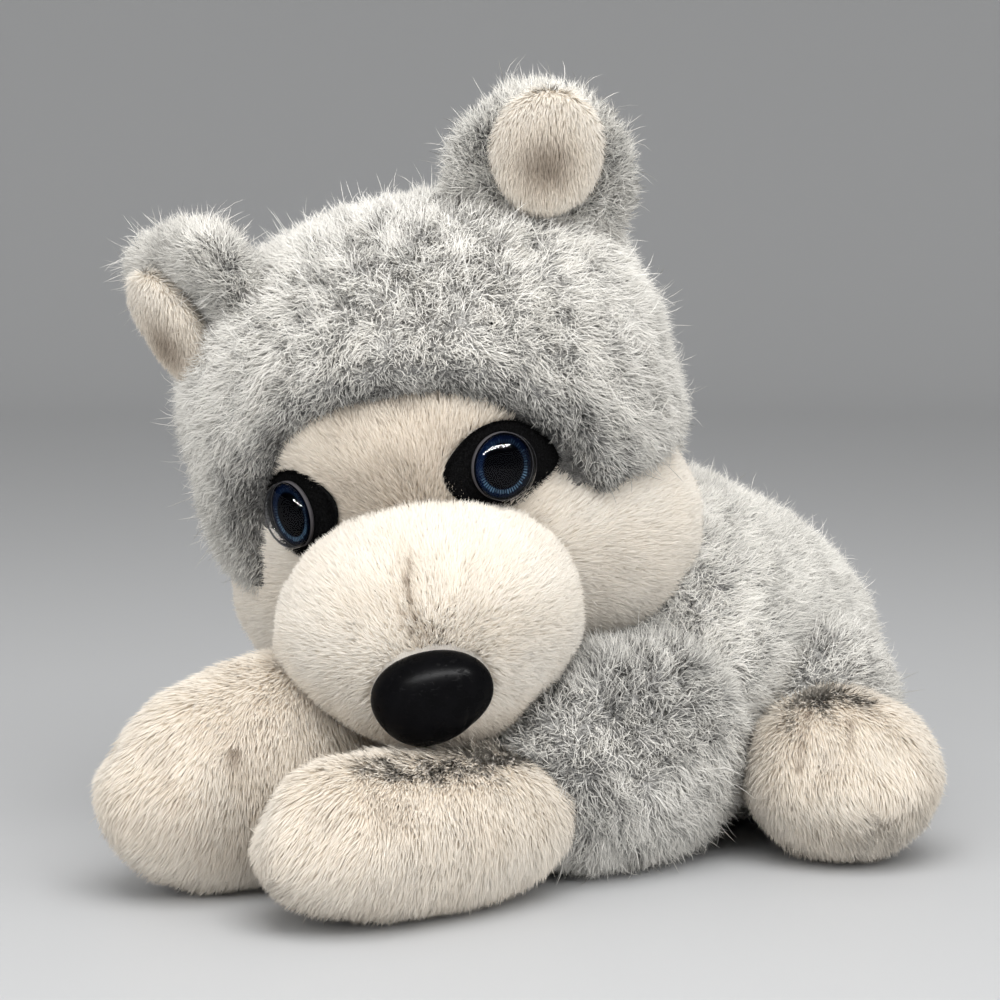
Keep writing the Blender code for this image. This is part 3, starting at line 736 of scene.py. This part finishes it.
class Shade:
    """One material and its nodes."""

    def __init__(self, name, **constants):
        self.material = bpy.data.materials.new(name)
        self.material.use_nodes = True
        self.tree = self.material.node_tree
        self.shader = self.tree.nodes["Principled BSDF"]
        self.fill(self.shader, constants)

    def fill(self, node, values):
        for key, value in values.items():
            socket = node.inputs[key if isinstance(key, int) else key.replace("_", " ")]
            if isinstance(value, Wire):
                self.tree.links.new(value.socket, socket)
            elif isinstance(value, tuple) and len(value) == 3 and socket.type == "RGBA":
                socket.default_value = (*value, 1.0)
            else:
                socket.default_value = value

    def node(self, kind, settings=None, values=None):
        node = self.tree.nodes.new(kind)
        for key, value in (settings or {}).items():
            if key == "stops":
                for _ in range(len(value) - 2):
                    node.color_ramp.elements.new(0.5)
                for stop, (place, colour) in zip(node.color_ramp.elements, value):
                    stop.position = place
                    stop.color = (*colour, 1.0)
            else:
                setattr(node, key, value)
        self.fill(node, values or {})
        return node

    def wire(self, kind, settings=None, values=None, output=0):
        return Wire(self, self.node(kind, settings, values).outputs[output])

    def mix(self, factor, first, second, how="MIX"):
        node = self.node("ShaderNodeMix", {"data_type": "RGBA", "blend_type": how})
        self.fill(node, {0: factor, 6: first, 7: second})
        return Wire(self, node.outputs[2])

    def ramp(self, factor, *stops):
        return self.wire("ShaderNodeValToRGB", {"stops": stops}, {0: factor})

    def value(self, name):
        return self.wire("ShaderNodeAttribute", {"attribute_name": name}, output=2)

    def map_uv(self):
        spot = self.wire("ShaderNodeUVMap", {"uv_map": MAP})
        split = self.node("ShaderNodeSeparateXYZ", values={0: spot})
        return Wire(self, split.outputs[0]), Wire(self, split.outputs[1])

    def noise(self, scale, detail=2.0, stretch=(1.0, 1.0, 1.0)):
        spot = self.wire("ShaderNodeTexCoord", output=3)
        turned = self.wire("ShaderNodeMapping", values={"Vector": spot, "Scale": stretch})
        return self.wire("ShaderNodeTexNoise",
                         values={"Vector": turned, "Scale": scale, "Detail": detail})

    def bump(self, height, strength, distance):
        made = self.node("ShaderNodeBump", values={"Height": height, "Strength": strength,
                                                   "Distance": distance})
        self.fill(self.shader, {"Normal": Wire(self, made.outputs[0])})

    def colour(self, value):
        self.fill(self.shader, {"Base_Color": value})


def grey_pile_paint():
    shade = Shade("grey pile hairs", Roughness=0.62, Specular_IOR_Level=0.03)
    tone, along = shade.map_uv()
    low = shade.ramp(tone, (0.0, (0.055, 0.055, 0.053)), (0.5, (0.29, 0.285, 0.27)),
                     (1.0, (0.68, 0.665, 0.63)))
    high = shade.ramp(tone, (0.0, (0.15, 0.148, 0.14)), (0.4, (0.60, 0.585, 0.545)),
                      (0.8, (0.86, 0.832, 0.77)), (1.0, (0.95, 0.925, 0.865)))
    shade.colour(shade.mix(along.between(0.05, 0.65), low, high))
    return shade.material


def cream_pile_paint():
    shade = Shade("cream pile hairs", Roughness=0.68, Specular_IOR_Level=0.03)
    tone, along = shade.map_uv()
    high = shade.ramp(tone, (0.0, (0.12, 0.105, 0.095)), (0.35, (0.48, 0.40, 0.32)),
                      (0.65, (0.87, 0.785, 0.67)), (1.0, (0.98, 0.93, 0.845)))
    low = shade.mix(1.0, high, (0.94, 0.91, 0.86), "MULTIPLY")
    shade.colour(shade.mix(along.between(0.0, 0.65), low, high))
    return shade.material


def skin_paint(name, dark, pale):
    shade = Shade(name, Roughness=0.95, Specular_IOR_Level=0.1)
    tone = shade.value("tone")
    grain = shade.noise(900.0, 3.0)
    speck = shade.noise(2300.0, 2.0)
    shade.colour(shade.mix((tone * 0.7 + grain * 0.2 + speck * 0.6 - 0.2).between(0.0, 1.0), dark, pale))
    shade.bump(speck, 0.6, 0.0006)
    return shade.material


def felt_paint():
    shade = Shade("black felt", Roughness=1.0, Specular_IOR_Level=0.02)
    grain = shade.noise(2600.0, 4.0)
    shade.colour(shade.mix(grain.between(0.35, 0.75), (0.001, 0.001, 0.001), (0.008, 0.008, 0.0085)))
    shade.bump(grain, 0.6, 0.0003)
    return shade.material


def nose_paint():
    shade = Shade("black moulded nose", Specular_IOR_Level=0.02)
    broad = shade.noise(160.0, 3.0)
    fine = shade.noise(900.0, 2.0, (1.0, 0.25, 1.6))
    scratches = fine.between(0.60, 0.68)
    shade.colour(shade.mix(broad, (0.002, 0.002, 0.002), (0.005, 0.005, 0.006)))
    shade.fill(shade.shader, {"Roughness": broad * 0.16 + scratches * 0.22 + 0.20})
    shade.bump(broad * 0.6 + scratches * 0.25, 0.22, 0.0006)
    return shade.material


def iris_paint():
    """Black pupil, a ring of short pale ticks round it, a navy band and a thin grey edge."""
    shade = Shade("dark blue eye paint", Roughness=0.5, Specular_IOR_Level=0.0)
    u, v = shade.map_uv()
    x, y = u * 2.0 - 1.0, v * 2.0 - 1.0
    r = (x * x + y * y) ** 0.5
    turn = y.made("ARCTAN2", y, x) * (IRIS_TICKS / (2 * math.pi)) + 100.0
    order = turn.made("FLOOR", turn)
    chance = shade.wire("ShaderNodeTexWhiteNoise", {"noise_dimensions": "1D"}, {"W": order})
    off = turn.made("ABSOLUTE", turn.made("FRACT", turn) - 0.5)
    reach = chance * 0.06 + 0.755
    tick = off.between(0.30, 0.17) * r.between(0.675, 0.695) * r.between(reach + 0.03, reach)
    tick = tick * (chance * 0.7 + 0.3) * (y.between(0.35, -0.6) * 0.9 + 0.10)
    band = r.between(0.62, 0.74) * r.between(0.95, 0.86)
    # painted light: the navy band is brighter towards the left, where light refracted by the dome falls on
    # it
    lit = x.between(0.5, -0.7) * 0.6 + 0.3
    navy = shade.mix(band * lit, (0.0008, 0.0009, 0.0014), (0.003, 0.008, 0.026))
    ticked = shade.mix(tick, navy, (0.11, 0.20, 0.29))
    shade.colour(shade.mix(r.between(0.965, 0.975), ticked, (0.09, 0.085, 0.09)))
    return shade.material


def clear_paint():
    """Clear plastic: what lies behind shows, with a gloss that grows towards the rim."""
    shade = Shade("clear eye plastic")
    shade.tree.nodes.remove(shade.shader)
    bend = shade.wire("ShaderNodeFresnel", values={"IOR": 1.20})
    clear = shade.wire("ShaderNodeBsdfTransparent", values={"Color": (0.97, 0.98, 1.0)})
    gloss = shade.wire("ShaderNodeBsdfGlossy", values={"Color": (1.0, 1.0, 1.0), "Roughness": 0.06})
    both = shade.wire("ShaderNodeMixShader", values={0: bend * shade.value("front"), 1: clear, 2: gloss})
    shade.fill(shade.tree.nodes["Material Output"], {"Surface": both})
    return shade.material


def plain_paint(name, colour, roughness):
    shade = Shade(name, Roughness=roughness)
    grain = shade.noise(300.0, 2.0)
    shade.colour(shade.mix(grain, tuple(0.92 * c for c in colour), colour))
    return shade.material


# Eyes and nose

def dome_profile(look):
    """Flat back, short straight rim, then an arch up to the top."""
    a = np.linspace(0, math.pi / 2, 14)
    arch = np.stack([EYE_RADIUS * np.cos(a), 0.9 + look.eye_dome * np.sin(a)], 1)
    arch[-1, 0] = 0.0
    rim = np.array([(0, 0), (EYE_RADIUS - 0.25, 0), (EYE_RADIUS, 0.2), (EYE_RADIUS, 0.5)])
    return np.concatenate([rim, arch])


def back_profile():
    """Painted disc, then its edge, back and post."""
    post = [(0, -14.3), (0.9, -14.3), (1.7, -13.3), (1.7, -1.3)]
    disc = [(EYE_RADIUS, -1.3), (EYE_RADIUS, -0.6), (EYE_RADIUS - 0.1, -0.3), (4.0, -0.3), (0, -0.3)]
    return np.array(post + disc)


def dome_front(local):
    """1 on the arch, which mirrors the room, and 0 on the flat back."""
    return {"front": smooth(0.1, 0.4, local[:, 2])}


def felt_points(side, steps=96):
    """Almond of felt with a post hole; it drops with the square of the distance, to follow the face."""
    a = np.arange(steps) / steps * 2 * math.pi
    edge = almond(a, side)
    share = np.concatenate([np.linspace(0, 0.97, 12), [1.0]])
    r = 2.0 + (edge[None] - 2.0) * share[:, None]
    drop = (r ** 2 - EYE_RADIUS ** 2) / (2 * PATCH_CURVE)
    top = FELT_TOP - np.maximum(drop, 0) - 0.25 * (share[:, None] > 0.99)
    low = FELT_TOP - FELT_THICK - np.maximum(drop, 0)
    layers = [np.stack([r * np.cos(a), r * np.sin(a), z], -1) for z in (top, low)]
    points = np.concatenate([layer.reshape(-1, 3) for layer in layers])
    rings = np.concatenate([np.arange(len(share)), np.arange(len(share))[::-1] + len(share), [0]])
    return points, bands(rings[:, None] * steps + np.arange(steps))


def felt_fuzz(label, side):
    """Short black fibres over the felt, denser and leaning outward near its edge."""
    dice = np.random.default_rng(60 + side)
    n = 2200
    angle = dice.uniform(0, 2 * math.pi, n)
    share = np.where(dice.random(n) < 0.6, dice.uniform(0.93, 1.0, n), np.sqrt(dice.uniform(0.3, 1.0, n)))
    r = almond(angle, side) * share
    drop = np.maximum((r ** 2 - EYE_RADIUS ** 2) / (2 * PATCH_CURVE), 0)
    root = np.stack([r * np.cos(angle), r * np.sin(angle), -1.75 - drop], 1)
    away = np.stack([np.cos(angle), np.sin(angle), np.full(n, 0.9)], 1)
    way = unit(away + 0.55 * dice.normal(size=(n, 3)))
    across = unit(np.cross(way, dice.normal(size=(n, 3)))) * 0.09
    tips = root + way * dice.uniform(0.7, 1.9, (n, 1))
    points = np.stack([root - across, root + across, tips], 1).reshape(-1, 3)
    turned, spot = eye_frame(side)
    return put_mesh("eye_fuzz_" + label, points @ turned.T + spot, [np.arange(3 * n).reshape(-1, 3)],
                    paint("felt", felt_paint))


def nose_fold(local):
    """Share by which the nose sinks: a crease down its left side, and a shallow one above the tip."""
    x, y, z = local.T
    line = x - (10.6 - 0.035 * (z - 1.5) ** 2)
    crease = 0.055 * np.exp(-(line / 0.75) ** 2) * smooth(7, 2, z) * smooth(-11, -7, z)
    outer = 0.035 * smooth(0.0, 2.0, line) * smooth(8, 0, z)
    return (crease + outer) * smooth(0, -3, y)


def nose_form():
    """The moulded nose: wide above, with a lobe at its tip."""
    place = inner(HEAD, (np.eye(3), NOSE_MIDDLE))
    swells = (((-2.5, -8, -8), 9, 2.2), ((9, -7, 5), 7, 0.8), ((-9, -7, 5), 7, 0.8), ((0, 8, 0), 12, -2),
              ((-9, -5, -7), 6, 0.8))
    return Form(place, NOSE_HALF, (0, 0, 0), swells, dip=nose_fold)


# Settings

class PuppyLook(PropertyGroup):
    """Sizes and colours of the puppy's dressing."""
    hairs: FloatProperty(name="Hair share", description="Share of the full number of hairs", default=1.0,
                         min=0.05, max=1.2)
    eye_dome: FloatProperty(name="Eye dome", description="Height of the eye's dome in millimetres",
                            default=4.0)
    floor_colour: FloatVectorProperty(name="Floor", description="Colour of the floor and backdrop",
                                      subtype="COLOR", size=3, default=(0.54, 0.545, 0.55))
    top_power: FloatProperty(name="Top lamp", description="Power of the wide lamp above the front",
                             default=9.2, unit="POWER")
    side_power: FloatProperty(name="Side lamps", description="Power of each soft lamp at the sides",
                              default=4.0, unit="POWER")
    window_power: FloatProperty(name="Window", description="Power of the lamp seen only as a reflection",
                                default=45.0, unit="POWER")
    sky: FloatProperty(name="Room light", description="Strength of the even light from all sides",
                       default=0.56)


PAINTS = {}


def paint(name, maker, *values):
    """Each material is made once."""
    if name not in PAINTS:
        PAINTS[name] = maker(*values)
    return PAINTS[name]


def finish_piece(item, slot, *nodes):
    """Every piece rides on the one body; the solids that a piece stands for are hidden."""
    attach(item, "root")
    if nodes:
        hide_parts(*nodes)
    return item


def dress(name, seed):
    """Skin and hairs of one padded part."""
    look = bpy.context.scene.puppy_look
    form, coat = FORMS[name], COATS[name]
    rows, columns = BIG_SKIN if name in ("hood", "body", "face") else SMALL_SKIN
    if coat.grey:
        cloth = paint("grey skin", skin_paint, "grey pile backing",
                      (0.05, 0.051, 0.051), (0.55, 0.54, 0.52))
        hair, slot = paint("grey hair", grey_pile_paint), "grey long pile"
    else:
        cloth = paint("cream skin", skin_paint, "cream pile backing",
                      (0.50, 0.43, 0.35), (0.96, 0.90, 0.82))
        hair, slot = paint("cream hair", cream_pile_paint), "cream short pile"
    tone = lambda points: coat.shade(form, points, form.own(points), np.random.default_rng(seed))
    skin = put_skin(name + "_fabric", form, rows, columns, coat.skin, cloth, tone)
    finish_piece(skin, slot, name)
    share = look.hairs * 1.0
    for number, kind in enumerate(coat.hairs):
        pile = grow(name, form, coat, kind, int(kind.count * share), hair, seed + 30 * number)
        finish_piece(pile, slot)


class PUPPY_OT_grey(Operator):
    """Grey hood, body, ears, shoulders, haunches and tail"""
    bl_idname = "puppy.grey"
    bl_label = "Grey pile"

    def execute(self, context):
        for number, name in enumerate(GREY):
            dress(name, 100 + number)
        return {"FINISHED"}


class PUPPY_OT_cream(Operator):
    """Cream face, muzzle, paws and ear linings"""
    bl_idname = "puppy.cream"
    bl_label = "Cream pile"

    def execute(self, context):
        for number, name in enumerate(n for n in COATS if n not in GREY):
            dress(name, 200 + number)
        return {"FINISHED"}


class PUPPY_OT_eyes(Operator):
    """Clear domes, painted backs and felt patches"""
    bl_idname = "puppy.eyes"
    bl_label = "Eyes"

    def execute(self, context):
        look = context.scene.puppy_look
        for side, label in ((1, "left"), (-1, "right")):
            place = eye_frame(side)
            dome = put_turned("eye_clear_" + label, place, dome_profile(look), TURNED_STEPS,
                              paint("clear", clear_paint), dome_front)
            finish_piece(dome, "clear eye plastic", "eye_dome_" + label)
            back = put_turned("eye_painted_" + label, place, back_profile(), TURNED_STEPS,
                              paint("iris", iris_paint))
            finish_piece(back, "dark blue eye paint", "eye_back_" + label)
            points, quads = felt_points(side)
            felt = put_mesh("eye_felt_" + label, points @ place[0].T + place[1], [quads],
                            paint("felt", felt_paint))
            finish_piece(felt, "black felt", "eye_patch_" + label)
            finish_piece(felt_fuzz(label, side), "black felt")
        return {"FINISHED"}


class PUPPY_OT_nose(Operator):
    """Moulded nose"""
    bl_idname = "puppy.nose"
    bl_label = "Nose"

    def execute(self, context):
        points, quads, caps = nose_form().grid(60, 90, 0.0)
        item = put_mesh("nose_moulded", points, [quads, caps], paint("nose", nose_paint))
        finish_piece(item, "black moulded plastic", "nose")
        return {"FINISHED"}


class PUPPY_OT_hidden(Operator):
    """Lock washers inside the head"""
    bl_idname = "puppy.hidden"
    bl_label = "Lock washers"

    def execute(self, context):
        made = paint("washer", plain_paint, "white washer plastic", (0.75, 0.75, 0.72), 0.5)
        for name in ("eye_washer_left", "eye_washer_right", "nose_washer"):
            for holder in frame["nodes"][name].material_slots:
                holder.material = made
        return {"FINISHED"}


def aim(item, spot, target):
    """Put a lamp or camera at a spot with its own -Z towards the target and +Y up."""
    way = Vector(target) - Vector(spot)
    item.location = spot
    item.rotation_euler = way.to_track_quat("-Z", "Y").to_euler()


def seen_from(x, y, z):
    """A point given as the viewer sees it, right, away and up, in millimetres, put into the scene."""
    return tuple((spin(2, VIEW_TURN) @ np.array((x, y, z), float) - SHIFT) * MM)


class PUPPY_OT_stage(Operator):
    """Floor, soft lamps, room light and camera"""
    bl_idname = "puppy.stage"
    bl_label = "Stage"

    def execute(self, context):
        look = context.scene.puppy_look
        self.floor(look)
        self.lamps(context, look)
        self.camera(context)
        return {"FINISHED"}

    def floor(self, look):
        """One sheet: flat, then curving up into a wall well behind, the same on every side."""
        bend = np.linspace(0.1, math.pi / 2, 14)
        r = np.concatenate([np.linspace(0.0, FLAT_FLOOR, 12), FLAT_FLOOR + WALL_BEND * np.sin(bend)])
        z = np.concatenate([np.zeros(12), WALL_BEND - WALL_BEND * np.cos(bend)])
        a = np.arange(FLOOR_SIDES) / FLOOR_SIDES * 2 * math.pi
        ring, level = r[1:, None], np.repeat(z[1:, None], FLOOR_SIDES, 1)
        body = np.stack([ring * np.cos(a), ring * np.sin(a), level], -1)
        points = np.concatenate([body.reshape(-1, 3), [[0, 0, 0]]]) / MM + SHIFT
        points[:, 2] -= 0.05
        index = np.arange((len(r) - 1) * FLOOR_SIDES).reshape(-1, FLOOR_SIDES)
        shade = Shade("pale floor", Roughness=0.55, Specular_IOR_Level=0.3)
        shade.colour(tuple(look.floor_colour))
        faces = [bands(index), fan(len(points) - 1, index[0])]
        put_mesh("floor", points, faces, shade.material)

    def lamps(self, context, look):
        """Three soft lamps and the room light, which nothing mirrors, and a window seen only mirrored."""
        lamps = (("top", look.top_power, (0.9, 0.9), (60, -520, 1000), False),
                 ("left", look.side_power, (0.9, 0.9), (-650, -780, 420), False),
                 ("right", look.side_power, (0.9, 0.9), (700, -700, 420), False),
                 ("window", look.window_power, (1.2, 0.13), (110, -590, 560), True))
        for name, power, (wide, high), spot, mirrored in lamps:
            lamp = bpy.data.lights.new(name, "AREA")
            lamp.shape = "RECTANGLE"
            lamp.energy, lamp.size, lamp.size_y = power, wide, high
            item = bpy.data.objects.new(name, lamp)
            item.visible_glossy, item.visible_diffuse = mirrored, not mirrored
            context.scene.collection.objects.link(item)
            aim(item, seen_from(*spot), seen_from(0, 20, 70))
        world = bpy.data.worlds.new("room")
        context.scene.world = world
        world.use_nodes = True
        back = world.node_tree.nodes["Background"]
        back.inputs["Color"].default_value = (1.0, 1.0, 1.0, 1.0)
        back.inputs["Strength"].default_value = look.sky
        world.cycles_visibility.glossy = False

    def camera(self, context):
        """Where the photograph was taken from."""
        view = bpy.data.cameras.new("camera")
        view.sensor_width, view.lens = SENSOR_WIDTH, LENS
        view.clip_start = 0.05
        item = bpy.data.objects.new("camera", view)
        context.scene.collection.objects.link(item)
        spot = (0, -VIEW_AWAY * math.cos(RISE), TARGET_HEIGHT + VIEW_AWAY * math.sin(RISE))
        aim(item, seen_from(*spot), seen_from(0, 0, TARGET_HEIGHT))
        context.scene.camera = item
        context.scene.view_settings.view_transform = "Standard"


class PUPPY_PT_panel(Panel):
    """Lists the steps in the order in which they run"""
    bl_idname = "PUPPY_PT_panel"
    bl_label = "Plush puppy"
    bl_space_type = "VIEW_3D"
    bl_region_type = "UI"
    bl_category = "Plush puppy"

    def draw(self, context):
        look = context.scene.puppy_look
        for name in PuppyLook.__annotations__:
            self.layout.prop(look, name)
        for step in STEPS:
            self.layout.operator(step.bl_idname)


STEPS = (PUPPY_OT_stage, PUPPY_OT_eyes, PUPPY_OT_nose, PUPPY_OT_hidden, PUPPY_OT_grey, PUPPY_OT_cream)
CLASSES = (PuppyLook,) + STEPS + (PUPPY_PT_panel,)


def register():
    for part in CLASSES:
        bpy.utils.register_class(part)
    bpy.types.Scene.puppy_look = PointerProperty(type=PuppyLook)


def unregister():
    del bpy.types.Scene.puppy_look
    for part in reversed(CLASSES):
        bpy.utils.unregister_class(part)


def main():
    register()
    bpy.ops.puppy.stage()
    bpy.ops.puppy.eyes()
    bpy.ops.puppy.nose()
    bpy.ops.puppy.hidden()
    bpy.ops.puppy.grey()
    bpy.ops.puppy.cream()


if __name__ == "__main__":
    main()
